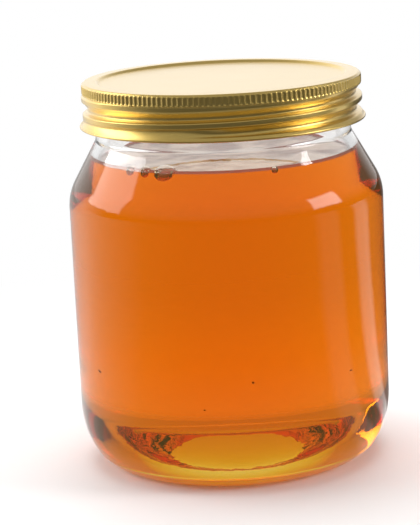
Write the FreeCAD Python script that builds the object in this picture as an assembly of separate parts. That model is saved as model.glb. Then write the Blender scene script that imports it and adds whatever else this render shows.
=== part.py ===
import FreeCAD, Part
import os
from math import asin, cos, degrees, pi, radians, sin, sqrt, tan

from FreeCAD import Vector

# A squat round glass honey jar, filled with clear honey and shut with a one-piece metal
# screw lid.  Millimetres, +Z up, origin on the standing plane at the jar's axis.
# Angles about the axis are in degrees, counted from +X towards +Y.

# ---- driving dimensions: the jar's outside ----
BODY_R = 40.0              # outer radius of the straight wall
HEEL_ACROSS = 8.9          # the heel is a quarter ellipse: its half width ...
HEEL_UP = 15.5             # ... and its half height
RING_IN_R = 29.6           # inner edge of the flat ring that the jar stands on
PUSH_UP = 2.6              # rise of the hollow under the base, at the axis
PUSH_UP_EDGE = 0.7         # step from the standing ring to the edge of that hollow
SHOULDER_Z = 66.4          # top of the straight wall
SHOULDER_ROUND = 13.0      # radius of the round between wall and shoulder
SHOULDER_LEAN = 29.4       # lean of the shoulder's straight flank from vertical
NECK_R = 32.4              # outer radius of the neck, which is also the thread's root
NECK_FILLET = 2.0          # round between shoulder and neck

# ---- driving dimensions: the jar's inside ----
WALL = 2.5                 # wall thickness of body and shoulder
NECK_WALL = 2.7            # wall thickness of the neck
FLOOR_Z = 6.6              # inner floor at the axis
FLOOR_EDGE_R = 27.0        # where the floor turns up into the inner heel
FLOOR_EDGE_Z = 4.6         # height of the floor there
INNER_HEEL_UP = 13.0       # half height of the inner heel's quarter ellipse
LIP_ROUND = 1.2            # round on the sealing lip

# ---- driving dimensions: the thread shared by neck and lid ----
PITCH = 4.233              # rise in one turn, six turns to the inch
GROOVE_START = 250.0       # angle where the lid's rolled groove begins
GROOVE_START_Z = 88.42     # height of the groove's middle there
GROOVE_TURN = 505.0        # angle that the groove runs through
GROOVE_R = 1.2             # radius of the groove's round section
GROOVE_DEPTH = 1.1         # how deep the groove is pressed into the skirt
RIDGE_START = 330.0        # angle where the glass thread begins
RIDGE_TURN = 300.0         # angle that the glass thread runs through
RIDGE_UP = 0.75            # half height of the glass thread at its foot
RIDGE_OUT = 0.95           # how far the glass thread stands out

# ---- driving dimensions: the honey ----
LEVEL_Z = 78.4             # surface of the honey

# ---- driving dimensions: the lid ----
SHEET = 0.4                # tinplate with its lacquer and sealing layer
LID_TOP_Z = 98.0           # crown of the rim
PANEL_Z = 97.3             # the flat panel lies a little lower than the rim
PANEL_R = 30.6             # edge of the flat panel
CROWN_IN_R = 31.8          # the rim's crown runs from here ...
CROWN_OUT_R = 34.3         # ... to here
SKIRT_R = 35.0             # outer radius of the plain skirt
KNURL_R = 35.3             # radius over the knurl's ridges
KNURL_LOW_Z = 95.3
KNURL_HIGH_Z = 97.3
KNURL_COUNT = 168
FLARE_Z = 88.6             # where the skirt starts to flare
FLARE_R = 36.2             # radius at the foot of the flare
CURL_R = 0.35              # round curled edge at the flare's foot
LID_LOW_Z = 86.5           # lowest point of the curled edge
JAR_TOP_Z = PANEL_Z - SHEET  # the sealing lip meets the underside of the lid's panel


def line(a, b):
    """Straight edge between two (radius, height) points in the XZ half plane."""
    return Part.makeLine(Vector(a[0], 0, a[1]), Vector(b[0], 0, b[1]))


def arc(a, middle, b):
    """Circular edge through three (radius, height) points."""
    points = [Vector(p[0], 0, p[1]) for p in (a, middle, b)]
    return Part.Arc(*points).toShape()


def arc_about(centre, radius, start, end):
    """Circular edge about a centre; angles in degrees from outward, turning upward."""
    angles = (start, (start + end) / 2, end)
    return arc(*[on_circle(centre, radius, a) for a in angles])


def on_circle(centre, radius, angle):
    """The point of a circle at an angle counted from outward, turning upward."""
    turn = radians(angle)
    return (centre[0] + radius * cos(turn), centre[1] + radius * sin(turn))


def heel(centre, across, up):
    """Quarter ellipse from straight below its centre round to straight outward."""
    middle = Vector(centre[0], 0, centre[1])
    high = middle + Vector(0, 0, up)
    side = middle - Vector(across, 0, 0)
    ellipse = Part.Ellipse(high, side, middle)
    # the ellipse's own angle runs from its upper end over the inner side to its lower end
    edge = Part.ArcOfEllipse(ellipse, pi, 1.5 * pi).toShape()
    return edge


def revolve(edges):
    """Closed outline in the XZ half plane, turned into a solid about the Z axis."""
    wire = Part.Wire(Part.__sortEdges__(edges))
    turned = Part.Face(wire).revolve(Vector(0, 0, 0), Vector(0, 0, 1), 360)
    return turned if turned.ShapeType == "Solid" else turned.Solids[0]


def shoulder_points(radius, turn_up, lean, round_radius, neck_radius, fillet):
    """Tangent points of wall, shoulder round, leaning flank, fillet and neck.

    The flank leans in by `lean` degrees.  The round is tangent to wall and flank, and the
    fillet is tangent to flank and neck, so the heights follow from the radii alone.
    """
    tilt = radians(lean)
    round_centre = (radius - round_radius, turn_up)
    flank_low = on_circle(round_centre, round_radius, lean)
    flank_high_r = neck_radius + fillet * (1 - cos(tilt))
    flank_high = (flank_high_r, flank_low[1] + (flank_low[0] - flank_high_r) / tan(tilt))
    fillet_centre = (neck_radius + fillet, flank_high[1] + fillet * sin(tilt))
    return round_centre, flank_low, flank_high, fillet_centre


def shoulder_edges(radius, round_radius, neck_radius, fillet):
    """Edges from the top of the straight wall to the foot of the neck, and that foot."""
    round_centre, flank_low, flank_high, fillet_centre = shoulder_points(
        radius, SHOULDER_Z, SHOULDER_LEAN, round_radius, neck_radius, fillet)
    foot = (neck_radius, fillet_centre[1])
    edges = [
        arc_about(round_centre, round_radius, 0, SHOULDER_LEAN),
        line(flank_low, flank_high),
        arc_about(fillet_centre, fillet, 180 + SHOULDER_LEAN, 180),
    ]
    return edges, foot


def cavity_edges():
    """Inner outline of the glass from the axis at the floor up to the neck's foot."""
    inner_r = BODY_R - WALL
    neck_in_r = NECK_R - NECK_WALL
    bend = (FLOOR_EDGE_R / 2, FLOOR_EDGE_Z + 0.75 * (FLOOR_Z - FLOOR_EDGE_Z))
    centre = (FLOOR_EDGE_R, FLOOR_EDGE_Z + INNER_HEEL_UP)
    edges = [
        arc((0, FLOOR_Z), bend, (FLOOR_EDGE_R, FLOOR_EDGE_Z)),
        heel(centre, inner_r - FLOOR_EDGE_R, INNER_HEEL_UP),
        line((inner_r, centre[1]), (inner_r, SHOULDER_Z)),
    ]
    upper, foot = shoulder_edges(inner_r, SHOULDER_ROUND - WALL, neck_in_r, NECK_FILLET + WALL)
    return edges + upper, foot


def helix(start_angle, turn, start_z, radius):
    """Rising right-hand helix of so many degrees about Z."""
    path = Part.makeHelix(PITCH, PITCH * turn / 360, radius)
    path.rotate(Vector(0, 0, 0), Vector(0, 0, 1), start_angle)
    path.translate(Vector(0, 0, start_z))
    return path


def at_angle(shape, angle, height):
    """A shape drawn in the XZ plane, turned about Z and lifted."""
    shape.rotate(Vector(0, 0, 0), Vector(0, 0, 1), angle)
    shape.translate(Vector(0, 0, height))
    return shape


def glass_thread():
    """Trapezoid ridge round the neck; it sits midway between two turns of the groove."""
    foot_r = NECK_R - 0.5
    crest_up = RIDGE_UP * 0.5
    corners = [(foot_r, -RIDGE_UP - 0.2), (NECK_R + RIDGE_OUT, -crest_up),
               (NECK_R + RIDGE_OUT, crest_up), (foot_r, RIDGE_UP + 0.2)]
    outline = Part.makePolygon([Vector(r, 0, z) for r, z in corners + corners[:1]])
    start_z = GROOVE_START_Z + PITCH * ((RIDGE_START - GROOVE_START) / 360 + 0.5)
    path = helix(RIDGE_START, RIDGE_TURN, start_z, NECK_R)
    section = at_angle(outline, RIDGE_START, start_z)
    return path.makePipeShell([section], True, True)


def make_jar():
    """The glass: straight wall, rounded heel and shoulder, threaded neck, hollow base."""
    ring_r = BODY_R - HEEL_ACROSS
    hollow = (RING_IN_R / 2, PUSH_UP_EDGE + 0.75 * (PUSH_UP - PUSH_UP_EDGE))
    outer_top, foot = shoulder_edges(BODY_R, SHOULDER_ROUND, NECK_R, NECK_FILLET)
    inner, inner_foot = cavity_edges()
    bore_r = NECK_R - NECK_WALL
    outline = [
        arc((0, PUSH_UP), hollow, (RING_IN_R, PUSH_UP_EDGE)),
        line((RING_IN_R, PUSH_UP_EDGE), (RING_IN_R, 0)),
        line((RING_IN_R, 0), (ring_r, 0)),
        heel((ring_r, HEEL_UP), HEEL_ACROSS, HEEL_UP),
        line((BODY_R, HEEL_UP), (BODY_R, SHOULDER_Z)),
        *outer_top,
        line(foot, (NECK_R, JAR_TOP_Z - LIP_ROUND)),
        arc_about((NECK_R - LIP_ROUND, JAR_TOP_Z - LIP_ROUND), LIP_ROUND, 0, 90),
        line((NECK_R - LIP_ROUND, JAR_TOP_Z), (bore_r + LIP_ROUND, JAR_TOP_Z)),
        arc_about((bore_r + LIP_ROUND, JAR_TOP_Z - LIP_ROUND), LIP_ROUND, 90, 180),
        line((bore_r, JAR_TOP_Z - LIP_ROUND), inner_foot),
        *inner,
        line((0, FLOOR_Z), (0, PUSH_UP)),
    ]
    return revolve(outline).fuse(glass_thread()).removeSplitter()


def make_honey():
    """The honey: the jar's inner space up to its level."""
    edges, foot = cavity_edges()
    block_top = foot[1]
    closing = [line(foot, (0, block_top)), line((0, block_top), (0, FLOOR_Z))]
    full = revolve(edges + closing)
    above = Part.makeCylinder(BODY_R, block_top, Vector(0, 0, LEVEL_Z))
    return full.cut(above)


def lid_outline(inward):
    """Points and edges of the lid's outer face, moved inward by a sheet's thickness."""
    low = inward
    crown_mid_z = LID_TOP_Z - low
    panel_z = PANEL_Z - low
    skirt_r = SKIRT_R - inward
    crown_out = CROWN_OUT_R - 0.5 * inward
    side_z = LID_TOP_Z - (SKIRT_R - CROWN_OUT_R) - 0.5 * inward
    reach = (sqrt(2) - 1) / sqrt(2)
    knee = (skirt_r - (skirt_r - crown_out) * reach, crown_mid_z - (crown_mid_z - side_z) * reach)
    flare_foot = (FLARE_R - inward, LID_LOW_Z + CURL_R)
    flare_bend = ((skirt_r + flare_foot[0]) / 2 - 0.15, (FLARE_Z + flare_foot[1]) / 2 - 0.15)
    edges = [
        line((0, panel_z), (PANEL_R + inward, panel_z)),
        line((PANEL_R + inward, panel_z), (CROWN_IN_R + inward, crown_mid_z)),
        line((CROWN_IN_R + inward, crown_mid_z), (crown_out, crown_mid_z)),
        arc((crown_out, crown_mid_z), knee, (skirt_r, side_z)),
        line((skirt_r, side_z), (skirt_r, FLARE_Z)),
        arc((skirt_r, FLARE_Z), flare_bend, flare_foot),
    ]
    return edges, (0, panel_z), flare_foot


def lid_shell():
    """The lid's sheet before the thread is rolled: outer face, inner face and the foot."""
    outer, outer_top, outer_foot = lid_outline(0)
    inner, inner_top, inner_foot = lid_outline(SHEET)
    return revolve(outer + inner + [line(outer_top, inner_top), line(outer_foot, inner_foot)])


def lid_envelope():
    """Everything inside the lid's outer face, which trims the rolled thread."""
    outer, top, foot = lid_outline(0)
    return revolve(outer + [line(foot, (0, foot[1])), line((0, foot[1]), top)])


def groove_tool(radius, centre_r):
    """Round-nosed helical tool: a swept circle with a ball at each end."""
    path = helix(GROOVE_START, GROOVE_TURN, GROOVE_START_Z, centre_r)
    circle = Part.makeCircle(radius, Vector(centre_r, 0, 0), Vector(0, 1, 0))
    section = at_angle(Part.Wire(circle), GROOVE_START, GROOVE_START_Z)
    tool = path.makePipeShell([section], True, True)
    for turn in (0, GROOVE_TURN):
        angle = radians(GROOVE_START + turn)
        height = GROOVE_START_Z + PITCH * turn / 360
        end = Vector(centre_r * cos(angle), centre_r * sin(angle), height)
        tool = tool.fuse(Part.makeSphere(radius, end))
    return tool


def knurl_ring():
    """Ring of upright ridges: a star outline with one point for each ridge."""
    count = 2 * KNURL_COUNT
    points = []
    for i in range(count + 1):
        radius = KNURL_R if i % 2 == 0 else SKIRT_R
        angle = 2 * pi * (i % count) / count
        points.append(Vector(radius * cos(angle), radius * sin(angle), KNURL_LOW_Z))
    star = Part.Face(Part.makePolygon(points))
    hole = Part.makeCylinder(SKIRT_R - SHEET, LID_TOP_Z)
    return star.extrude(Vector(0, 0, KNURL_HIGH_Z - KNURL_LOW_Z)).cut(hole)


def curled_edge():
    """The hem rolled round at the foot of the flare."""
    return Part.makeTorus(FLARE_R - CURL_R, CURL_R, Vector(0, 0, LID_LOW_Z + CURL_R))


def make_lid():
    """Sheet lid: recessed panel, crowned rim, knurl, rolled thread, flare and curled edge."""
    centre_r = SKIRT_R - GROOVE_DEPTH + GROOVE_R
    pressed = groove_tool(GROOVE_R + SHEET, centre_r).common(lid_envelope())
    sheet = lid_shell().fuse(pressed).cut(groove_tool(GROOVE_R, centre_r))
    return sheet.fuse([curled_edge(), knurl_ring()]).removeSplitter()


def write(name, shape):
    """Check one part and write it as a STEP file named after its node."""
    solid = shape.Solids[0]
    print(f"{name}: solids {len(shape.Solids)}, valid {solid.isValid()}, "
          f"faces {len(solid.Faces)}, volume {solid.Volume / 1000:.1f} cm3, box {solid.BoundBox}")
    solid.exportStep(os.path.join("parts", name + ".step"))


os.makedirs("parts", exist_ok=True)
write("jar", make_jar())
write("honey", make_honey())
write("lid", make_lid())
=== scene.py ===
# %% [markdown]
# # A jar of clear honey with a gold screw lid
#
# The real object is a squat glass jar, about as wide as it is high, full of runny amber honey
# and shut with a thin metal lid.  Three things make its look: clear glass that bends what is
# behind it, honey that soaks up blue and green light along the way, and satin gold lacquer.
# Glass and honey could be faked with a tinted see-through shell, but then the dark band over
# the base and the glow in its middle would be missing.  So both are closed bodies here, with
# true walls, and the light does the rest, helped by a faint painted glow in the honey.

# %% Load the fixed frame
from math import cos, pi, radians, sin, tan

import bpy
import numpy as np
from mathutils import Matrix, Vector


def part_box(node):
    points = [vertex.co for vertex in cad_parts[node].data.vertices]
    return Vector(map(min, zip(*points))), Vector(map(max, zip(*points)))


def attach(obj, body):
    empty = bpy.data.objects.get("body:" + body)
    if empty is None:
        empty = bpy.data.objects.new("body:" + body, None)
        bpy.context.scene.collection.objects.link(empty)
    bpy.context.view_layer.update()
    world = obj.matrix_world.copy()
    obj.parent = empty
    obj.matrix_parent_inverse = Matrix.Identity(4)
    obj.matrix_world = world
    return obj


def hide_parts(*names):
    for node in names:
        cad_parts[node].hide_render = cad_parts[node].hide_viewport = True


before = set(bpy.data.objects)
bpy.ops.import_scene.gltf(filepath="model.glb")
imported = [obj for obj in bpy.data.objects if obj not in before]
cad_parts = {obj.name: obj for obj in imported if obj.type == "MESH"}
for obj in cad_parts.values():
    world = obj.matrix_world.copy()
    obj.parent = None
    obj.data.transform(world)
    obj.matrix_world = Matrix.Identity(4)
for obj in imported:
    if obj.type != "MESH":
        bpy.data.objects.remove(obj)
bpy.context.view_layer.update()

MM = 0.001

# %% [markdown]
# ## Sizes
#
# Every size is in millimetres and starts from the boxes of the frame's own parts, so that the
# dressed jar stands exactly where the plain one does.  What a box can't tell, such as the radius
# of a round, is a named value.

# %% Named sizes
jar_high = np.array(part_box("jar")[1]) / MM
honey_high = np.array(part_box("honey")[1]) / MM
lid_low, lid_high = (np.array(corner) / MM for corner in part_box("lid"))

BODY_R = jar_high[0]             # outer radius of the straight wall
JAR_TOP = jar_high[2]            # sealing lip
INNER_R = honey_high[0]          # inner radius of the straight wall
WALL = BODY_R - INNER_R
LEVEL = honey_high[2]            # surface of the honey
LID_TOP = lid_high[2]
LID_LOW = lid_low[2]
LID_R = lid_high[0]              # radius over the curled edge

HEEL_ACROSS, HEEL_UP = 8.9, 15.5  # half axes of the heel's quarter ellipse, outside
INNER_HEEL_ACROSS, INNER_HEEL_UP = 9.0, 14.0
FLOOR_MIDDLE, FLOOR_EDGE = 6.0, 3.2  # inner floor at the axis and where its heel begins
PUSH_UP, PUSH_UP_EDGE = 3.94, 3.12  # hollow under the base, at the axis and at its edge
PUSH_UP_R, RING_R = 22.5, 31.0   # edge of that hollow, and of the slope down to the ring
SEAM_Z, SEAM_OUT, SEAM_WIDTH = 2.9, 0.12, 0.22  # fine line that the mould leaves on the heel
SHOULDER_Z = 66.4                # top of the straight wall
SHOULDER_ROUND = 13.0            # radius between wall and shoulder
SHOULDER_LEAN = radians(29.4)    # lean of the shoulder's flank
SHOULDER_STEPS = 24              # points on its round; half as many on flank and fillet
NECK_R, NECK_WALL, NECK_FILLET = 32.4, 2.7, 2.0
LIP_ROUND = 1.2
PITCH = 4.233                    # rise of the screw thread in one turn
ROUND_STEPS = 256                # columns of a turned piece
LID_STEPS = 456                  # columns of the lid's sheet, which carries the rolled thread
print(f"jar {2 * BODY_R:.1f} mm across, honey up to {LEVEL:.1f} mm, top {LID_TOP:.1f} mm")

# %% [markdown]
# ## Turned shapes
#
# Glass, honey and lid are all round, so each is a profile of (radius, height) points carried
# round the axis.  The Screw modifier could do that, but a grid worked out with numpy keeps the
# rows and columns in hand, so that a thread or a knurl can be a small change of radius that
# depends on angle and height.


# %% Profiles and turned meshes
def ramp(x, start, end):
    """Smooth step from 0 at start to 1 at end: 3t^2 - 2t^3, with t clipped to 0..1."""
    t = np.clip((x - start) / (end - start), 0.0, 1.0)
    return t * t * (3.0 - 2.0 * t)


def arc(centre, radius, start, end, steps):
    """Points of a circle: centre + radius (cos a, sin a), for a from start to end, in radians."""
    a = np.linspace(start, end, steps)
    return np.stack([centre[0] + radius * np.cos(a), centre[1] + radius * np.sin(a)], 1)


def ellipse_quarter(centre, across, up, steps):
    """Quarter ellipse from straight below its centre round to straight outward."""
    a = np.linspace(-pi / 2, 0.0, steps)
    return np.stack([centre[0] + across * np.cos(a), centre[1] + up * np.sin(a)], 1)


def straight(a, b, steps):
    """Points evenly spaced from a to b."""
    return np.linspace(a, b, steps)


def dome(middle_z, edge_r, edge_z, power, steps):
    """Shallow dome from the axis to its edge: height falls with a power of the radius."""
    r = np.linspace(0.0, edge_r, steps)
    return np.stack([r, middle_z + (edge_z - middle_z) * (r / edge_r) ** power], 1)


def slope_down(start, end, steps):
    """Soft step from start down to end: half a cosine wave between the two."""
    t = np.linspace(0.0, 1.0, steps)
    fall = 0.5 - 0.5 * np.cos(pi * t)
    return np.stack([start[0] + (end[0] - start[0]) * t, start[1] + (end[1] - start[1]) * fall], 1)


def shoulder(radius, bend, neck_r, fillet):
    """Round, leaning flank and fillet, each tangent to the next, from wall to neck."""
    lean, half = SHOULDER_LEAN, SHOULDER_STEPS // 2
    low = arc((radius - bend, SHOULDER_Z), bend, 0.0, lean, SHOULDER_STEPS)
    high_r = neck_r + fillet * (1.0 - cos(lean))
    high_z = low[-1, 1] + (low[-1, 0] - high_r) / tan(lean)
    high = arc((neck_r + fillet, high_z + fillet * sin(lean)), fillet, pi + lean, pi, half)
    return np.concatenate([low, straight(low[-1], high[0], half)[1:-1], high])


def chain(*stretches):
    """Joins stretches of a profile and drops points that repeat."""
    points = np.concatenate(stretches)
    gap = np.linalg.norm(np.diff(points, axis=0), axis=1)
    return points[np.concatenate([[True], gap > 1e-6])]


def pushed(profile, distance):
    """Moves each point along the profile's own normal, to the right of its direction."""
    way = np.gradient(profile, axis=0)
    way /= np.linalg.norm(way, axis=1)[:, None]
    moved = profile + distance * np.stack([way[:, 1], -way[:, 0]], 1)
    moved[:, 0] = np.maximum(moved[:, 0], 0.0)
    return moved


def signed_volume(points, faces):
    """Sum over triangles of a . (b x c) / 6; positive where faces point outward."""
    total = 0.0
    for face in faces:
        a = points[face[:, 0]]
        for i in range(1, face.shape[1] - 1):
            total += np.einsum("ij,ij->", a, np.cross(points[face[:, i]], points[face[:, i + 1]]))
    return total / 6.0


def make_object(name, points, faces, inward=False, sharp=35.0):
    """Mesh object from points in millimetres and lists of quads and triangles."""
    volume = signed_volume(points, faces)
    if (volume < 0.0) != inward:
        faces = [face[:, ::-1] for face in faces]
    mesh = bpy.data.meshes.new(name)
    rows = [tuple(row) for face in faces for row in face.tolist()]
    mesh.from_pydata((points * MM).tolist(), [], rows)
    mesh.update()
    mesh.shade_smooth()
    mesh.set_sharp_from_angle(angle=radians(sharp))
    piece = bpy.data.objects.new(name, mesh)
    bpy.context.scene.collection.objects.link(piece)
    print(f"{name}: {len(points)} points, {len(rows)} faces, {abs(volume) / 1000:.1f} cm3")
    return piece


def turned(profile, columns):
    """Angle, radius and height of a profile carried round the axis, as (row, column) arrays."""
    angle = np.linspace(0.0, 2.0 * pi, columns, endpoint=False)
    r = np.repeat(profile[:, :1], columns, 1)
    z = np.repeat(profile[:, 1:], columns, 1)
    return np.broadcast_to(angle, r.shape), r, z


def round_faces(rows, columns, loop):
    """Quads that join each row to the next and each column to the one beside it."""
    count = rows if loop else rows - 1
    i, j = np.meshgrid(np.arange(count), np.arange(columns), indexing="ij")
    up, side = (i + 1) % rows, (j + 1) % columns
    quads = np.stack([i * columns + j, i * columns + side, up * columns + side, up * columns + j], -1)
    return quads.reshape(-1, 4)


def turned_mesh(angle, r, z, loop=False):
    """Points (r cos a, r sin a, z) and faces; unless it loops, both end rows lie on the axis.

    Such a row is one point, joined to the next row by a fan of triangles.
    """
    rows, columns = r.shape
    points = np.stack([r * np.cos(angle), r * np.sin(angle), z], -1).reshape(-1, 3)
    quads = round_faces(rows, columns, loop)
    if loop:
        return points, [quads]
    used = quads[columns:-columns]
    first, last = np.arange(columns), (rows - 1) * columns + np.arange(columns)
    inner_first, inner_last = first + columns, last - columns
    fan_low = np.stack([np.zeros(columns, int), np.roll(inner_first, -1), inner_first], 1)
    fan_high = np.stack([np.full(columns, last[0]), inner_last, np.roll(inner_last, -1)], 1)
    keep = np.concatenate([[0], np.arange(columns, last[0] + 1)])
    index = np.full(len(points), -1)
    index[keep] = np.arange(len(keep))
    return points[keep], [index[used], index[fan_low], index[fan_high]]


def row_marks(row_values, columns):
    """One value for each face of a turned mesh: its row's value, then the two fans' values."""
    quads = np.repeat(row_values[1:-2], columns)
    return np.concatenate([quads, np.repeat(row_values[0], columns), np.repeat(row_values[-1], columns)])


# %% [markdown]
# ## The glass
#
# The jar is blown in a mould: an even wall, a thick base pushed up in its middle so that it
# stands on a ring, and a screw thread on the neck under the lid.  One closed body with an outer
# and an inner skin bends light as the real wall does.  The yellow patch and the dark wedges low
# in the front come from the base, and move when the heights of its hollow or floor change.


# %% Inner and outer profile of the glass
def cavity_profile():
    """Inner face of the glass from the axis at the floor up to the neck."""
    centre = (INNER_R - INNER_HEEL_ACROSS, FLOOR_EDGE + INNER_HEEL_UP)
    upper = shoulder(INNER_R, SHOULDER_ROUND - WALL, NECK_R - NECK_WALL, NECK_FILLET + WALL)
    return chain(
        dome(FLOOR_MIDDLE, centre[0], FLOOR_EDGE, 3.5, 32),
        ellipse_quarter(centre, INNER_HEEL_ACROSS, INNER_HEEL_UP, 40),
        straight((INNER_R, centre[1]), (INNER_R, SHOULDER_Z), 12),
        upper)


def outside_profile():
    """Outer face of the glass from the axis under the base up to the neck.

    The mould line is a bump of height exp(-((z - seam) / width)^2) on the heel.
    """
    heel = ellipse_quarter((BODY_R - HEEL_ACROSS, HEEL_UP), HEEL_ACROSS, HEEL_UP, 72)
    heel[:, 0] += SEAM_OUT * np.exp(-((heel[:, 1] - SEAM_Z) / SEAM_WIDTH) ** 2)
    return chain(
        dome(PUSH_UP, PUSH_UP_R, PUSH_UP_EDGE, 1.5, 24),
        slope_down((PUSH_UP_R, PUSH_UP_EDGE), (RING_R, 0.0), 24),
        heel,
        straight((BODY_R, HEEL_UP), (BODY_R, SHOULDER_Z), 12),
        shoulder(BODY_R, SHOULDER_ROUND, NECK_R, NECK_FILLET))


def glass_profile():
    """The whole outline: outside, neck, sealing lip, bore and inside."""
    outer, inner = outside_profile(), cavity_profile()
    lip_z, bore_r = JAR_TOP - LIP_ROUND, NECK_R - NECK_WALL
    neck = straight(outer[-1], (NECK_R, lip_z), 50)
    lip_out = arc((NECK_R - LIP_ROUND, lip_z), LIP_ROUND, 0.0, pi / 2, 8)
    lip_in = arc((bore_r + LIP_ROUND, lip_z), LIP_ROUND, pi / 2, pi, 8)
    return chain(outer, neck, lip_out, lip_in, straight(lip_in[-1], inner[-1], 12), inner[::-1])


# %% [markdown]
# The lid's rolled groove and the ridge on the glass are one screw: a height that rises by one
# pitch in a turn.  Both come from the same helix, and fade out at their ends.  The glass under
# the level is wetted, and takes another finish than the rest.

# %% One helix for lid and neck
GROOVE_ANGLE = 250.0             # degrees at which the lid's groove begins
GROOVE_Z = 87.6                  # height of its deepest line there
GROOVE_TURN = 510.0              # degrees that it runs through
RIDGE_LATER, RIDGE_TURN = 80.0, 300.0  # the glass ridge begins so far past that, and runs so far
RIDGE_OVER = 0.62                # its height over the groove's line, in pitches
RIDGE_OUT = 0.95                 # how far it stands out from the neck


def helix_offset(angle, z, start, turn, start_z, fade):
    """Height above the nearest turn of a helix, and 1 along it, fading to 0 at both ends.

    The run along the helix, in degrees, is the angle past its start plus the whole number of
    turns that brings the helix nearest to z.
    """
    past = (np.degrees(angle) - start) % 360.0
    turns = np.round((z - start_z - PITCH * past / 360.0) / PITCH)
    turns = np.clip(turns, -(past // 360.0), np.floor((turn - past) / 360.0))
    turns = np.maximum(turns, 0.0)
    run = past + 360.0 * turns
    along = ramp(run, 0.0, fade) * (1.0 - ramp(run, turn - fade, turn))
    return z - start_z - PITCH * run / 360.0, along


# %% Make the glass
def glass_thread(angle, z):
    """Ridge on the neck, a rounded bump a little over half a pitch above the lid's groove."""
    start_z = GROOVE_Z + PITCH * (RIDGE_LATER / 360.0 + RIDGE_OVER)
    height, along = helix_offset(angle, z, GROOVE_ANGLE + RIDGE_LATER, RIDGE_TURN, start_z, 25.0)
    return RIDGE_OUT * along * (1.0 - ramp(np.abs(height), 0.3, 1.0))


glass_line = glass_profile()
angle, r, z = turned(glass_line, ROUND_STEPS)
is_neck = (r > NECK_R - 0.01) & (z > GROOVE_Z)
r = r + np.where(is_neck, glass_thread(angle, z), 0.0)
jar = make_object("jar_glass", *turned_mesh(angle, r, z))
inner_rows = np.arange(len(glass_line)) >= len(glass_line) - len(cavity_profile())
wetted = row_marks(inner_rows & (glass_line[:, 1] < LEVEL + 0.5), ROUND_STEPS)

# %% [markdown]
# ## The honey
#
# Honey wets the glass with no air between them.  Two skins in the same place would flicker, so
# the honey's skin lies a fifth of a millimetre inside the wall.  Its top is nearly flat, and
# climbs a little where it clings to the glass.  A few bubbles have risen to the edge: each is a
# hollow in the honey with a thin raised skin over it.

# %% Bubbles at the edge of the honey
HONEY_OVERLAP = 0.2              # how far the honey reaches into the wall
CLIMB, CLIMB_WIDTH = 0.5, 1.4    # height and breadth of the honey's rise at the glass
CLIMB_FADE = 2.2                 # powers of e by which the rise falls off over that breadth
STEEP_ROWS = 36                  # last rows of the inner profile, which rise past the level
TOP_ROWS = 64
# the rim and the skins over the bubbles are left without the surface's painted glow
BARE_RING = 1.3                  # width of the clear dark rim round the paler surface
SKIN = 0.12                      # skin of honey over a bubble
# angle about the axis in degrees, half width, half height and centre height over the level
BUBBLES = [(242.1, 2.55, 2.1, -0.75), (233.5, 1.2, 1.5, -0.45), (225.3, 1.15, 1.35, -0.5),
           (291.4, 0.9, 0.95, -0.5)]


def bubble_places():
    """Centre and half axes of each bubble; its centre is 0.9 half widths from the glass."""
    wall_r = np.interp(LEVEL, *cavity_profile()[-STEEP_ROWS:, ::-1].T)
    for at, half, tall, over in BUBBLES:
        reach = wall_r - 0.9 * half
        centre = np.array([reach * cos(radians(at)), reach * sin(radians(at)), LEVEL + over])
        yield centre, np.array([half, half, tall])


def bubble_mesh(centre, halves, rows=14, columns=28):
    """Ellipsoid grid: centre + halves * (sin p cos t, sin p sin t, cos p)."""
    p = np.linspace(0.0, pi, rows)
    profile = np.stack([np.sin(p), np.cos(p)], 1)
    angle, r, z = turned(profile, columns)
    points, faces = turned_mesh(angle, r, z)
    return points * halves + centre, faces


# %% Make the honey
def raised_skin(points):
    """Height of the honey's surface where a bubble lifts it: its dome plus the skin."""
    lifted = np.full(len(points), -np.inf)
    for centre, halves in bubble_places():
        wide = halves + SKIN
        near = ((points[:, :2] - centre[:2]) ** 2).sum(1) / wide[0] ** 2
        lifted = np.maximum(lifted, centre[2] + wide[2] * np.sqrt(np.clip(1.0 - near, 0.0, 1.0)))
    return lifted


def honey_profile():
    """Inner profile of the glass pushed into the wall, cut at the climb's height, and the top.

    The top's height over the level is climb * exp(-fade * distance from the wall / width).
    """
    side = pushed(cavity_profile(), HONEY_OVERLAP)
    edge_z = LEVEL + CLIMB
    edge_r = np.interp(edge_z, side[:, 1][-STEEP_ROWS:], side[:, 0][-STEEP_ROWS:])
    side = side[side[:, 1] < edge_z - 0.05]
    r = edge_r - np.linspace(0.0, 1.0, TOP_ROWS) ** 1.8 * edge_r
    depth = (edge_r - HONEY_OVERLAP - r) / CLIMB_WIDTH
    top = np.stack([r, LEVEL + CLIMB * np.exp(-np.maximum(depth, 0.0) * CLIMB_FADE)], 1)
    return chain(side, top)


honey_line = honey_profile()
angle, r, z = turned(honey_line, 2 * ROUND_STEPS)
points, faces = turned_mesh(angle, r, z)
on_top = points[:, 2] > LEVEL - 0.01
points[on_top, 2] = np.maximum(points[on_top, 2], raised_skin(points[on_top]))
honey = make_object("honey_fill", points, faces, sharp=60.0)
open_top = row_marks(np.arange(len(honey_line)) >= len(honey_line) - TOP_ROWS, 2 * ROUND_STEPS)
far_r = np.hypot(points[:, 0], points[:, 1])
# faces on the rim and over the bubbles take the honey without the painted glow
bare = on_top & ((points[:, 2] <= raised_skin(points)) | (far_r > far_r[on_top].max() - BARE_RING))
honey_marks = np.where(np.concatenate([bare[face].any(1) for face in faces]), 2, open_top)
hollows = []
for number, (centre, halves) in enumerate(bubble_places()):
    hollows.append(make_object(f"bubble_{number}", *bubble_mesh(centre, halves), inward=True))
with bpy.context.temp_override(active_object=honey, selected_editable_objects=[honey] + hollows):
    bpy.ops.object.join()

# %% [markdown]
# Fine crumbs of wax and pollen hang in the honey.  They are small flat ellipsoids close to the
# front wall, where the glass magnifies them least.

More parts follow.
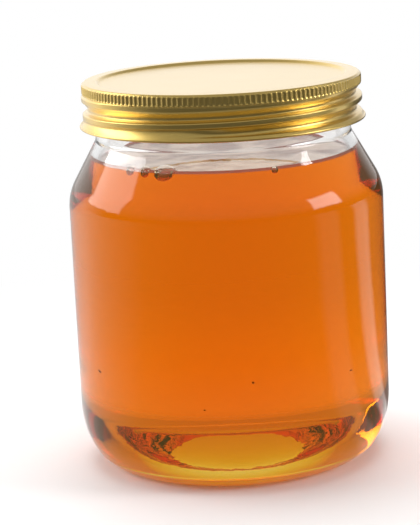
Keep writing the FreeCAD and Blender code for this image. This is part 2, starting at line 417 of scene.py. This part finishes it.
# %% Specks in the honey
# angle in degrees, height, half length, half height and slope in degrees
SPECKS = [(209.5, 27.4, 0.75, 0.22, 20.0), (276.8, 27.8, 0.3, 0.25, 0.0), (319.1, 26.4, 0.35, 0.2, 0.0),
          (258.4, 21.3, 0.3, 0.16, 10.0), (301.0, 14.0, 0.3, 0.2, 0.0), (226.0, 12.5, 0.4, 0.22, 30.0)]
SPECK_R = INNER_R - 0.9
SPECK_DEEP = 0.25                # half size across the wall
points, faces, start = [], [], 0
for at, height, half, tall, slope in SPECKS:
    body, sides = bubble_mesh(np.zeros(3), np.array([half, SPECK_DEEP, tall]), 7, 10)
    lean, turn = radians(slope), radians(at + 90.0)
    body = body @ np.array(Matrix.Rotation(lean, 3, "Y")).T @ np.array(Matrix.Rotation(turn, 3, "Z")).T
    points.append(body + [SPECK_R * cos(radians(at)), SPECK_R * sin(radians(at)), height])
    faces += [side + start for side in sides]
    start += len(body)
specks = make_object("honey_specks", np.concatenate(points), faces)

# %% [markdown]
# ## The lid
#
# A screw lid is pressed from one thin sheet.  A ring is raised round its flat panel, the corner
# is knurled for grip, the thread is rolled in from outside, and the foot flares out and is
# curled so that no raw edge shows.  The outer profile carries all of that but the knurl, and the
# inner face is the same profile one sheet further in.

# %% Sizes of the lid
SHEET = 0.4
PANEL_Z = LID_TOP - 0.7
PANEL_R, RIM_R = 30.5, 31.7      # edge of the flat panel, and where the raised rim begins
CORNER_R, CORNER_ROUND = 34.4, 0.6  # centre and radius of the round outside the rim
RIM_FALL = 0.06                  # how far the rim's top falls towards that round
SEAT_R, SEAT_ROUND = 35.02, 0.52  # sheet behind the knurl, and its round below
SKIRT_R, SKIRT_TOP, FLARE_Z = 34.95, 94.75, 89.3  # plain skirt down to where its foot flares
BEAD_OUT, GROOVE_IN = 0.5, 1.05  # how far bead and groove leave the plain skirt
BEAD_LATER, BEAD_SHORTER = 270.0, 60.0  # degrees: start further along the helix, shorter run
BEAD_UNDER = 1.45                # how far the bead's line lies under the groove's
KNURL_R, KNURL_DEPTH, KNURL_COUNT = 35.3, 0.24, 168
KNURL_LOW, KNURL_HIGH = 95.1, 97.5
CURL_R, CURL_ROWS = 0.38, 18
LINED_ROWS = 4                   # rows at the curl's end that are lined, as is the inner face


def rolled_thread(angle, z):
    """Change of the skirt's radius: a bead stands out just below a groove pressed in.

    The groove is steep below its deepest line and slow above it.
    """
    deep, along = helix_offset(angle, z, GROOVE_ANGLE, GROOVE_TURN, GROOVE_Z, 30.0)
    groove = np.where(deep < 0.0, 1.0 - ramp(-deep, 0.15, 0.85), 1.0 - ramp(deep, 0.2, 2.2))
    bead_z = GROOVE_Z + PITCH * BEAD_LATER / 360.0 - BEAD_UNDER
    over, beside = helix_offset(angle, z, GROOVE_ANGLE + BEAD_LATER, GROOVE_TURN - BEAD_SHORTER,
                                bead_z, 40.0)
    bead = 1.0 - ramp(np.abs(over), 0.45, 1.1)
    return BEAD_OUT * bead * beside - GROOVE_IN * groove * along


def lid_line():
    """Outer profile from the panel's middle to the curled edge.

    The foot flares out with the power 1.6 of its way down, from 0 at its start to 1 at the curl.
    """
    curl = (LID_R - CURL_R, LID_LOW + CURL_R)
    step = np.linspace(0.0, 1.0, 9)
    rise_z = PANEL_Z + (LID_TOP - PANEL_Z) * ramp(step, 0.0, 1.0)
    rise = np.stack([PANEL_R + (RIM_R - PANEL_R) * step, rise_z], 1)
    flare_z = np.linspace(FLARE_Z, curl[1] + 0.25, 14)
    out = (FLARE_Z - flare_z) / (FLARE_Z - curl[1])
    flare = np.stack([SKIRT_R + (curl[0] + CURL_R * 0.75 - SKIRT_R) * out ** 1.6, flare_z], 1)
    return chain(
        straight((0.0, PANEL_Z), (PANEL_R, PANEL_Z), 12),
        rise,
        straight((RIM_R, LID_TOP), (CORNER_R - 0.05, LID_TOP - RIM_FALL), 5),
        arc((CORNER_R, LID_TOP - RIM_FALL - CORNER_ROUND), CORNER_ROUND, pi / 2, 0.15, 8),
        straight((SEAT_R, KNURL_HIGH), (SEAT_R, KNURL_LOW), 4),
        arc((SEAT_R - SEAT_ROUND, KNURL_LOW - 0.1), SEAT_ROUND, 0.0, -0.5, 4),
        straight((SKIRT_R, SKIRT_TOP), (SKIRT_R, FLARE_Z + 0.05), 44),
        flare,
        arc(curl, CURL_R, 0.7, -1.25 * pi, CURL_ROWS))


outer_line = lid_line()
inner_line = pushed(outer_line[:-CURL_ROWS], SHEET)[::-1]
whole_line = chain(outer_line, inner_line)
angle, r, z = turned(whole_line, LID_STEPS)
rolled = (z < KNURL_LOW) & (z > LID_LOW + 1.2) & (r > 34.0)
r = r + np.where(rolled, rolled_thread(angle, z), 0.0)
lid = make_object("lid_sheet", *turned_mesh(angle, r, z), sharp=50.0)
lined = row_marks(np.arange(len(whole_line)) >= len(outer_line) - LINED_ROWS, LID_STEPS)

# %% [markdown]
# The knurl is a ring of its own, because it needs far more columns than the rest.  Its valleys
# are wide with narrow ridges between them, as a roller leaves them, and run out softly above and
# below.


# %% The knurl
def knurl(angle, z):
    """Depth of the valleys: wide rounded waves round the lid, faded at both ends."""
    wave = (0.5 - 0.5 * np.cos(KNURL_COUNT * angle)) ** 0.6
    ends = ramp(z, KNURL_LOW - 0.05, KNURL_LOW + 0.35) * (1.0 - ramp(z, KNURL_HIGH - 0.3, KNURL_HIGH))
    return KNURL_DEPTH * wave * ends


# the face swells out with (1 - |share|^8)^0.6, where share runs from -1 to 1 up its rows
rows = np.linspace(KNURL_LOW - 0.2, KNURL_HIGH + 0.15, 16)
swell = 1.0 - np.abs(2.0 * (rows - rows[0]) / (rows[-1] - rows[0]) - 1.0) ** 8
face = np.stack([SKIRT_R - 0.15 + (KNURL_R - SKIRT_R + 0.15) * swell ** 0.6, rows], 1)
back = np.array([[SKIRT_R - 0.2, rows[-1]], [SKIRT_R - 0.2, rows[0]]])
angle, r, z = turned(np.concatenate([face, back]), 8 * KNURL_COUNT)
r = np.where(r > SKIRT_R - 0.1, r - knurl(angle, z), r)
knurl_ring = make_object("lid_knurl", *turned_mesh(angle, r, z, loop=True), sharp=70.0)

# %% [markdown]
# ## Finishes
#
# Every finish is procedural.  Small helpers add and join nodes, and one shared group makes the
# faint waviness that both blown glass and rolled sheet have.


# %% Node helpers
def new_material(name):
    """Empty node material with its output node and a Principled shader."""
    material = bpy.data.materials.new(name)
    material.use_nodes = True
    tree = material.node_tree
    tree.nodes.clear()
    output = tree.nodes.new("ShaderNodeOutputMaterial")
    shader = tree.nodes.new("ShaderNodeBsdfPrincipled")
    tree.links.new(shader.outputs["BSDF"], output.inputs["Surface"])
    return material, tree, shader, output


def add(tree, kind, **values):
    """Adds a node; values set its properties, or its input sockets by name."""
    node = tree.nodes.new(kind)
    for key, value in values.items():
        if hasattr(node, key):
            setattr(node, key, value)
        else:
            node.inputs[key.replace("_", " ")].default_value = value
    return node


def mapped(tree, source, start, end, low=0.0, high=1.0, kind="SMOOTHSTEP"):
    """Value that goes from low to high, smoothly by default, as the source goes from start to end."""
    step = add(tree, "ShaderNodeMapRange", interpolation_type=kind)
    for socket, value in (("From Min", start), ("From Max", end), ("To Min", low), ("To Max", high)):
        step.inputs[socket].default_value = value
    tree.links.new(source, step.inputs["Value"])
    return step.outputs["Result"]


def calculated(tree, operation, *values, clamp=False):
    """Result of a Math node; each value is a number or another node's output."""
    node = add(tree, "ShaderNodeMath", operation=operation, use_clamp=clamp)
    for socket, value in zip(node.inputs, values):
        if isinstance(value, float):
            socket.default_value = value
        else:
            tree.links.new(value, socket)
    return node.outputs["Value"]


def two_tones(tree, shader, factor, tone_a, tone_b):
    """Base colour that goes from one tone to the other while the factor goes from 0 to 1."""
    colour = add(tree, "ShaderNodeMix", data_type="RGBA")
    colour.inputs["A"].default_value = (*tone_a, 1.0)
    colour.inputs["B"].default_value = (*tone_b, 1.0)
    tree.links.new(factor, colour.inputs["Factor"])
    tree.links.new(colour.outputs["Result"], shader.inputs["Base Color"])


def waviness_group():
    """Shared group: slow waves and fine grain of a surface, as one height from 0 to 1."""
    group = bpy.data.node_groups.new("surface_waves", "ShaderNodeTree")
    group.interface.new_socket("Slow Size", in_out="INPUT", socket_type="NodeSocketFloat")
    group.interface.new_socket("Fine Size", in_out="INPUT", socket_type="NodeSocketFloat")
    group.interface.new_socket("Fine Share", in_out="INPUT", socket_type="NodeSocketFloat")
    group.interface.new_socket("Height", in_out="OUTPUT", socket_type="NodeSocketFloat")
    inside, outside = group.nodes.new("NodeGroupInput"), group.nodes.new("NodeGroupOutput")
    place = group.nodes.new("ShaderNodeTexCoord")
    slow = add(group, "ShaderNodeTexNoise", Detail=1.0)
    fine = add(group, "ShaderNodeTexNoise", Detail=2.0)
    mix = add(group, "ShaderNodeMix", data_type="FLOAT")
    for noise, size in ((slow, "Slow Size"), (fine, "Fine Size")):
        group.links.new(place.outputs["Object"], noise.inputs["Vector"])
        group.links.new(inside.outputs[size], noise.inputs["Scale"])
    group.links.new(inside.outputs["Fine Share"], mix.inputs["Factor"])
    group.links.new(slow.outputs["Fac"], mix.inputs["A"])
    group.links.new(fine.outputs["Fac"], mix.inputs["B"])
    group.links.new(mix.outputs["Result"], outside.inputs["Height"])
    return group


WAVES = waviness_group()


def add_waves(tree, shader, slow, fine, share, strength, distance):
    """Feeds the shared waves through a Bump node into the shader's normal.

    Slow and fine are noise scales, share is the fine one's part, and distance is in metres.
    """
    waves = tree.nodes.new("ShaderNodeGroup")
    waves.node_tree = WAVES
    waves.inputs["Slow Size"].default_value = slow
    waves.inputs["Fine Size"].default_value = fine
    waves.inputs["Fine Share"].default_value = share
    bump = add(tree, "ShaderNodeBump", Strength=strength, Distance=distance)
    tree.links.new(waves.outputs["Height"], bump.inputs["Height"])
    tree.links.new(bump.outputs["Normal"], shader.inputs["Normal"])
    return waves


# %% [markdown]
# Clear glass hardly has a colour of its own.  A trace of green comes from iron in the sand.
# What bends light is the step in the index of refraction from one side of a face to the other.
# Glass and honey have nearly the same index, so where they touch, both faces get an index of 1
# and light goes straight through.  With an index of 1.5 there, each face would bend and mirror
# light as if air lay between the two.

# %% Clear glass
def make_glass(name, index):
    """Clear glass of a given index of refraction against what touches it."""
    material, tree, shader, _ = new_material(name)
    shader.inputs["Transmission Weight"].default_value = 1.0
    shader.inputs["Metallic"].default_value = 0.0
    shader.inputs["Roughness"].default_value = 0.0
    shader.inputs["IOR"].default_value = index
    waves = add_waves(tree, shader, 60.0, 400.0, 0.1, 0.25, 0.0004)
    two_tones(tree, shader, waves.outputs["Height"], (0.985, 0.995, 0.988), (1.0, 1.0, 1.0))
    return material


# %% [markdown]
# Honey takes light out along its way: red goes far, green a fifth as far, blue hardly at all.
# Volume Absorption takes (1 - colour) x density off for each metre, so one density and one
# colour give three depths, and thin places come out yellow while thick ones glow orange.
#
# Real honey also scatters a little light, and a faint painted glow in the volume stands in for
# that.  With a glow of colour x loss for each metre, a layer too thick to see through shows just
# that glow colour.  The surface gets a faint painted glow in patches, but for a clear rim and the
# skins over the bubbles.  The surface gets a faint patchy glow in place of froth, but for a clear
# rim and the skins over the bubbles.

# %% Honey
HONEY_LOSS = (5.8, 31.0, 150.0)  # light lost for each metre of honey, in red, green and blue
DENSITY = 200.0                  # any value above the largest loss
# painted glow in the volume, in place of the light that honey scatters
HONEY_GLOW = (0.14, 0.036, 0.0)  # colour that a very thick layer glows with


def make_honey(name, index, glow_strength):
    """Clear honey of a given index of refraction against what touches it.

    The last argument is the strength of a painted glow in pale patches; between them it falls
    to 15% of that.
    """
    material, tree, shader, output = new_material(name)
    shader.inputs["Transmission Weight"].default_value = 1.0
    shader.inputs["Metallic"].default_value = 0.0
    shader.inputs["Roughness"].default_value = 0.0
    shader.inputs["IOR"].default_value = index
    waves = add_waves(tree, shader, 25.0, 120.0, 0.2, 0.1, 0.0003)
    two_tones(tree, shader, waves.outputs["Height"], (1.0, 0.985, 0.95), (1.0, 1.0, 1.0))
    # painted glow on the surface: pale light in patches, with no lamp behind it
    shader.inputs["Emission Color"].default_value = (1.0, 0.88, 0.7, 1.0)
    patches = add(tree, "ShaderNodeTexNoise", Scale=110.0, Detail=2.0)
    place = tree.nodes.new("ShaderNodeTexCoord")
    tree.links.new(place.outputs["Object"], patches.inputs["Vector"])
    pale = mapped(tree, patches.outputs["Fac"], 0.4, 0.56, 0.15 * glow_strength, glow_strength, "LINEAR")
    tree.links.new(pale, shader.inputs["Emission Strength"])
    soak = tree.nodes.new("ShaderNodeVolumeAbsorption")
    soak.inputs["Color"].default_value = (*(1.0 - loss / DENSITY for loss in HONEY_LOSS), 1.0)
    soak.inputs["Density"].default_value = DENSITY
    # painted glow: the volume gives off light of its own, in place of scattered light
    volume_glow = tree.nodes.new("ShaderNodeEmission")
    volume_glow.inputs["Color"].default_value = (*(h * loss for h, loss in zip(HONEY_GLOW, HONEY_LOSS)), 1.0)
    both = tree.nodes.new("ShaderNodeAddShader")
    tree.links.new(soak.outputs["Volume"], both.inputs[0])
    tree.links.new(volume_glow.outputs["Emission"], both.inputs[1])
    tree.links.new(both.outputs["Shader"], output.inputs["Volume"])
    return material


# %% Specks
def make_speck():
    """Matt brown of wax and pollen, a little lighter here and there."""
    material, tree, shader, _ = new_material("wax_crumb")
    grain = add(tree, "ShaderNodeTexNoise", Scale=2500.0)
    place = tree.nodes.new("ShaderNodeTexCoord")
    tree.links.new(place.outputs["Object"], grain.inputs["Vector"])
    two_tones(tree, shader, grain.outputs["Fac"], (0.05, 0.012, 0.004), (0.16, 0.05, 0.015))
    shader.inputs["Roughness"].default_value = 0.6
    return material


# %% [markdown]
# Gold lacquer is a clear yellow varnish over tinplate.  The metal below gives the broad satin
# sheen, and the varnish a second, sharper one.  Rolling leaves fine lines round the lid, drawn
# here by noise that changes fast with height and radius and hardly at all along the way round.

# %% Gold lacquer
def make_gold():
    """Satin gold metal under a clear coat, with fine rolled lines in its roughness."""
    material, tree, shader, _ = new_material("gold_lacquer")
    shader.inputs["Metallic"].default_value = 1.0
    shader.inputs["Coat Weight"].default_value = 0.9
    shader.inputs["Coat Roughness"].default_value = 0.2
    place = tree.nodes.new("ShaderNodeTexCoord")
    split = tree.nodes.new("ShaderNodeSeparateXYZ")
    tree.links.new(place.outputs["Object"], split.inputs["Vector"])
    square = add(tree, "ShaderNodeVectorMath", operation="MULTIPLY")
    square.inputs[1].default_value = (1.0, 1.0, 0.0)
    tree.links.new(place.outputs["Object"], square.inputs[0])
    reach = add(tree, "ShaderNodeVectorMath", operation="LENGTH")
    tree.links.new(square.outputs["Vector"], reach.inputs[0])
    rings = tree.nodes.new("ShaderNodeCombineXYZ")
    tree.links.new(reach.outputs["Value"], rings.inputs["X"])
    tree.links.new(split.outputs["Z"], rings.inputs["Y"])
    lines = add(tree, "ShaderNodeTexNoise", Scale=2600.0, Detail=2.0)
    tree.links.new(rings.outputs["Vector"], lines.inputs["Vector"])
    rough = mapped(tree, lines.outputs["Fac"], 0.0, 1.0, 0.28, 0.38, "LINEAR")
    tree.links.new(rough, shader.inputs["Roughness"])
    waves = add_waves(tree, shader, 90.0, 1500.0, 0.35, 0.12, 0.0003)
    two_tones(tree, shader, waves.outputs["Height"], (0.93, 0.63, 0.14), (0.98, 0.71, 0.21))
    return material


def make_lining():
    """Cream compound on the lid's inner face, with a glow that lights the empty neck."""
    material, tree, shader, _ = new_material("pale_lining")
    waves = add_waves(tree, shader, 200.0, 900.0, 0.3, 0.1, 0.0002)
    two_tones(tree, shader, waves.outputs["Height"], (0.8, 0.76, 0.68), (0.88, 0.85, 0.79))
    shader.inputs["Roughness"].default_value = 0.5
    shader.inputs["Emission Color"].default_value = (1.0, 0.94, 0.86, 1.0)
    shader.inputs["Emission Strength"].default_value = 0.6
    return material


def dress(piece, materials, marks=None):
    """Gives a piece its materials; marks says for each face which one it takes.

    Faces past the marks, which are those of joined pieces, take the last material.
    """
    piece.data.materials.clear()
    for material in materials:
        piece.data.materials.append(material)
    if marks is not None:
        count = len(piece.data.polygons)
        index = np.concatenate([marks, np.full(count - len(marks), len(materials) - 1)])
        piece.data.polygons.foreach_set("material_index", index.astype(np.int32))


TO_AIR, MATCHED = 1.5, 1.0       # index of refraction against air, and where the two touch
# strength of the painted glow on the honey's surface
SURFACE_GLOW = 0.24
GLASS, WET_GLASS = make_glass("clear_glass", TO_AIR), make_glass("wetted_glass", MATCHED)
HONEY_SKIN = make_honey("honey_at_glass", MATCHED, 0.0)
HONEY_TOP = make_honey("honey_surface", TO_AIR, SURFACE_GLOW)
HONEY_BARE = make_honey("honey_bare", TO_AIR, 0.0)
CRUMB, GOLD, LINING = make_speck(), make_gold(), make_lining()
dress(jar, [GLASS, WET_GLASS], wetted)
dress(honey, [HONEY_SKIN, HONEY_TOP, HONEY_BARE], honey_marks)
dress(specks, [CRUMB])
dress(lid, [GOLD, LINING], lined)
dress(knurl_ring, [GOLD])
for node, material in (("jar", GLASS), ("honey", HONEY_TOP), ("lid", GOLD)):
    dress(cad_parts[node], [material])

# %% [markdown]
# ## What stands for what
#
# The plain parts of the frame stay hidden behind the dressed ones.  Nothing moves against
# anything else, so every piece rides on the one body.

# %% Ride on the one body, and hide the plain parts
for piece, node, slot in ((jar, "jar", "clear_glass"), (honey, "honey", "honey"),
                          (lid, "lid", "gold_lacquer"), (knurl_ring, "lid", "gold_lacquer")):
    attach(piece, "root")
    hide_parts(node)
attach(specks, "root")

# %% [markdown]
# ## Floor, light and camera
#
# The jar stands on a pale floor that runs into white.  Glass and gold mirror what is around
# them, so there is a room for gloss and light: a dim one with two windows, a bright wall behind
# the jar and a grey ceiling.  The eye still sees plain white behind the jar, also through it.
# The Light Path node tells these rays apart.  A ray bent by glass counts as glossy too, so
# mirrored rays alone are glossy minus transmission.

# %% Floor
# brightness that gloss sees round the jar, by direction in degrees from +X towards +Y
ROUND_ABOUT = [(-180.0, 0.55), (-150.0, 0.14), (-125.0, 0.1), (-29.0, 0.1), (-22.0, 0.4), (-9.0, 0.4),
               (-4.0, 0.08), (8.0, 0.08), (13.0, 1.0), (25.0, 1.0), (30.0, 0.1), (60.0, 0.05),
               (90.0, 0.5), (150.0, 1.0), (180.0, 0.55)]
NEAR_GLOSS = 0.18                # brightness that gloss sees on the floor close to the jar
# in metres: distances from the jar's axis between which the floor goes over to white, gloss
# goes over to the room, and the brightness close to the jar comes in
TO_WHITE, TO_ROOM, TO_NEAR_GLOSS = (0.05, 0.22), (0.03, 0.045), (0.17, 0.09)
STAGE_HALF, STAGE_DROP = 3.0, 0.00005  # half side of the floor, and its gap to the foot


def direction_brightness(tree, vector):
    """Value by direction about Z, read from a colour ramp along a radial gradient."""
    radial = add(tree, "ShaderNodeTexGradient", gradient_type="RADIAL")
    tree.links.new(vector, radial.inputs["Vector"])
    ramp_node = tree.nodes.new("ShaderNodeValToRGB")
    stops = ramp_node.color_ramp.elements
    while len(stops) < len(ROUND_ABOUT):
        stops.new(0.5)
    for stop, (degrees, value) in zip(stops, ROUND_ABOUT):
        stop.position = degrees / 360.0 + 0.5
        stop.color = (value, value, value, 1.0)
    tree.links.new(radial.outputs["Fac"], ramp_node.inputs["Fac"])
    return ramp_node.outputs["Color"]


def floor_material():
    """Pale matt floor near the jar; further out white for the eye, and the room for gloss."""
    material, tree, shader, output = new_material("pale_floor")
    shader.inputs["Base Color"].default_value = (0.9, 0.895, 0.89, 1.0)
    shader.inputs["Roughness"].default_value = 0.6
    place = tree.nodes.new("ShaderNodeTexCoord")
    path = tree.nodes.new("ShaderNodeLightPath")
    length = add(tree, "ShaderNodeVectorMath", operation="LENGTH")
    tree.links.new(place.outputs["Object"], length.inputs[0])
    reach = length.outputs["Value"]
    near = calculated(tree, "MULTIPLY", mapped(tree, reach, *TO_NEAR_GLOSS), NEAR_GLOSS)
    lit = add(tree, "ShaderNodeVectorMath", operation="ADD")
    tree.links.new(direction_brightness(tree, place.outputs["Object"]), lit.inputs[0])
    tree.links.new(near, lit.inputs[1])
    white, room = add(tree, "ShaderNodeEmission"), add(tree, "ShaderNodeEmission")
    tree.links.new(lit.outputs["Vector"], room.inputs["Color"])
    bent = path.outputs["Is Transmission Ray"]
    eye = calculated(tree, "MAXIMUM", path.outputs["Is Camera Ray"], bent, clamp=True)
    gloss = calculated(tree, "SUBTRACT", path.outputs["Is Glossy Ray"], bent, clamp=True)
    surface = shader.outputs["BSDF"]
    for kind, ends, emission in ((eye, TO_WHITE, white), (gloss, TO_ROOM, room)):
        mix = tree.nodes.new("ShaderNodeMixShader")
        tree.links.new(calculated(tree, "MULTIPLY", mapped(tree, reach, *ends), kind), mix.inputs["Fac"])
        tree.links.new(surface, mix.inputs[1])
        tree.links.new(emission.outputs["Emission"], mix.inputs[2])
        surface = mix.outputs["Shader"]
    tree.links.new(surface, output.inputs["Surface"])
    return material


def make_floor():
    """Large square just under the foot of the jar."""
    corners = [(x * STAGE_HALF, y * STAGE_HALF, 0.0) for x, y in ((-1, -1), (1, -1), (1, 1), (-1, 1))]
    mesh = bpy.data.meshes.new("floor")
    mesh.from_pydata(corners, [], [(0, 1, 2, 3)])
    mesh.materials.append(floor_material())
    floor = bpy.data.objects.new("floor", mesh)
    bpy.context.scene.collection.objects.link(floor)
    floor.location.z = -STAGE_DROP
    print(f"floor: {2 * STAGE_HALF:.0f} m square")


make_floor()

# %% [markdown]
# The world has the same split.  Its windows are drawn on the sky rather than hung as lamps, so
# that their edges can be soft and the lower one ragged.

# %% World
# azimuth and half width in degrees, sines of the lowest and highest elevation, softness of the
# lower edge as a sine, brightness
PANES = [(166.0, 19.0, 0.12, 0.7, 0.03, 3.6), (-11.0, 13.5, 0.12, 0.5, 0.04, 6.5)]
PANE_SOFT, PANE_SOFT_TOP = 1.5, 0.05  # soft edges: degrees at the sides, a sine at the top
RAGGED = 0.12                    # how far the lower edge wanders, as a sine
BRIGHT_WAY = (-0.3, 0.95, 0.0)   # towards the bright wall
# start and end of a smooth step, and the brightness at each: by how far a ray points towards
# the bright wall, and by the sine of its elevation
ROOM_WALL, ROOM_CEILING = (0.35, 0.95, 0.08, 1.4), (-0.05, 0.35, 0.0, 0.42)


def add_pane(tree, vector, azimuth, half_width, low, high, edge, strength):
    """Window in the sky: smooth edges in azimuth and in the sine of elevation, ragged below."""
    turn = add(tree, "ShaderNodeVectorRotate", rotation_type="Z_AXIS")
    turn.inputs["Angle"].default_value = radians(-azimuth)
    tree.links.new(vector, turn.inputs["Vector"])
    radial = add(tree, "ShaderNodeTexGradient", gradient_type="RADIAL")
    tree.links.new(turn.outputs["Vector"], radial.inputs["Vector"])
    aside = calculated(tree, "ABSOLUTE", calculated(tree, "SUBTRACT", radial.outputs["Fac"], 0.5))
    ragged = add(tree, "ShaderNodeTexNoise", Scale=14.0, Detail=4.0)
    tree.links.new(vector, ragged.inputs["Vector"])
    split = tree.nodes.new("ShaderNodeSeparateXYZ")
    tree.links.new(vector, split.inputs["Vector"])
    lift = calculated(tree, "MULTIPLY_ADD", ragged.outputs["Fac"], -RAGGED, split.outputs["Z"])
    foot = low - RAGGED / 2.0
    side_ends = ((half_width + PANE_SOFT) / 360.0, (half_width - PANE_SOFT) / 360.0)
    bright = strength
    for source, ends in ((aside, side_ends), (lift, (foot, foot + edge)),
                         (split.outputs["Z"], (high, high - PANE_SOFT_TOP))):
        bright = calculated(tree, "MULTIPLY", mapped(tree, source, *ends), bright)
    return bright


def make_world():
    """White for the eye and through glass; for light and gloss, a room with two windows."""
    world = bpy.data.worlds.new("studio")
    bpy.context.scene.world = world
    world.use_nodes = True
    tree = world.node_tree
    tree.nodes.clear()
    output = tree.nodes.new("ShaderNodeOutputWorld")
    path = tree.nodes.new("ShaderNodeLightPath")
    seen = calculated(tree, "MAXIMUM", path.outputs["Is Camera Ray"], path.outputs["Is Transmission Ray"])
    place = tree.nodes.new("ShaderNodeTexCoord")
    way = place.outputs["Generated"]
    split = tree.nodes.new("ShaderNodeSeparateXYZ")
    tree.links.new(way, split.inputs["Vector"])
    behind = add(tree, "ShaderNodeVectorMath", operation="DOT_PRODUCT")
    tree.links.new(way, behind.inputs[0])
    behind.inputs[1].default_value = BRIGHT_WAY
    wall = mapped(tree, behind.outputs["Value"], *ROOM_WALL)
    ceiling = mapped(tree, split.outputs["Z"], *ROOM_CEILING)
    total = calculated(tree, "MAXIMUM", wall, ceiling)
    for pane in PANES:
        window = calculated(tree, "MULTIPLY", add_pane(tree, way, *pane), path.outputs["Is Glossy Ray"])
        total = calculated(tree, "ADD", total, window)
    room, white = add(tree, "ShaderNodeBackground"), add(tree, "ShaderNodeBackground")
    tree.links.new(total, room.inputs["Strength"])
    mix = tree.nodes.new("ShaderNodeMixShader")
    tree.links.new(seen, mix.inputs["Fac"])
    tree.links.new(room.outputs["Background"], mix.inputs[1])
    tree.links.new(white.outputs["Background"], mix.inputs[2])
    tree.links.new(mix.outputs["Shader"], output.inputs["Surface"])
    print(f"world: {len(PANES)} windows, {len(tree.nodes)} nodes")


make_world()

# %% [markdown]
# Three broad soft lamps light what is matt, above all the floor, and give the jar its shadow.
# Neither the camera nor gloss sees them.

# %% Lamps
AIM = Vector((0.0, 0.0, 0.06))   # point in the jar that the lamps face, in metres
# name, azimuth and elevation in degrees, distance, width, height, power
LAMPS = [("window_left", 165.0, 23.0, 1.2, 1.1, 0.6, 11.0),
         ("window_right", -12.0, 22.0, 1.2, 0.42, 0.6, 7.0),
         ("sky_above", 90.0, 75.0, 1.2, 1.0, 1.0, 10.5)]


def soft_lamp(name, azimuth, elevation, away, width, height, power):
    """Rectangular lamp that faces the jar, at a direction given in degrees and a distance."""
    turn, rise = radians(azimuth), radians(elevation)
    way = Vector((cos(rise) * cos(turn), cos(rise) * sin(turn), sin(rise)))
    light = bpy.data.lights.new(name, "AREA")
    light.shape = "RECTANGLE"
    light.size, light.size_y = width, height
    light.energy = power
    lamp = bpy.data.objects.new(name, light)
    lamp.location = AIM + away * way
    lamp.rotation_euler = way.to_track_quat("Z", "Y").to_euler()
    lamp.visible_camera = False
    lamp.visible_glossy = False
    bpy.context.scene.collection.objects.link(lamp)
    print(f"{name}: {power:.1f} W")


for lamp_values in LAMPS:
    soft_lamp(*lamp_values)

# %% [markdown]
# The camera looks down a little, from half a metre away, with a long lens.  It is rolled a
# touch, so that the jar leans, and shifted sideways by a twentieth of the picture's height.

# %% Camera
CAMERA_AWAY, CAMERA_HIGH = 525.0, 165.2  # from the jar's axis, and over the floor
CAMERA_DOWN, CAMERA_YAW, CAMERA_ROLL = 12.43, 0.19, -2.561  # degrees
LENS_LENGTH, LENS_SHIFT = 3.98095238, 0.04952381  # both as shares of the picture's height


def make_camera():
    """Camera matrix from its forward, right and up directions, turned by the roll."""
    down, yaw, roll = radians(CAMERA_DOWN), radians(CAMERA_YAW), radians(CAMERA_ROLL)
    forward = Vector((sin(yaw) * cos(down), cos(yaw) * cos(down), -sin(down)))
    right = Vector((cos(yaw), -sin(yaw), 0.0))
    up = right.cross(forward)
    right_rolled = cos(roll) * right + sin(roll) * up
    up_rolled = cos(roll) * up - sin(roll) * right
    lens = bpy.data.cameras.new("camera")
    lens.sensor_fit = "VERTICAL"
    lens.sensor_height = 36.0
    lens.lens = LENS_LENGTH * lens.sensor_height
    lens.shift_x = -LENS_SHIFT
    lens.clip_start, lens.clip_end = 0.01, 50.0
    camera = bpy.data.objects.new("camera", lens)
    axes = Matrix((right_rolled, up_rolled, -forward)).transposed().to_4x4()
    place = Vector((0.0, -CAMERA_AWAY, CAMERA_HIGH)) * MM
    camera.matrix_world = Matrix.Translation(place) @ axes
    bpy.context.scene.collection.objects.link(camera)
    bpy.context.scene.camera = camera
    print(f"camera {CAMERA_AWAY:.0f} mm from the axis, {CAMERA_HIGH:.0f} mm over the floor")


make_camera()
scene = bpy.context.scene
scene.view_settings.view_transform = "Standard"
# light passes many faces on its way through glass, honey and bubbles
scene.cycles.max_bounces = 24
scene.cycles.transmission_bounces = 24
scene.cycles.glossy_bounces = 8

# %% Update the scene
bpy.context.view_layer.update()
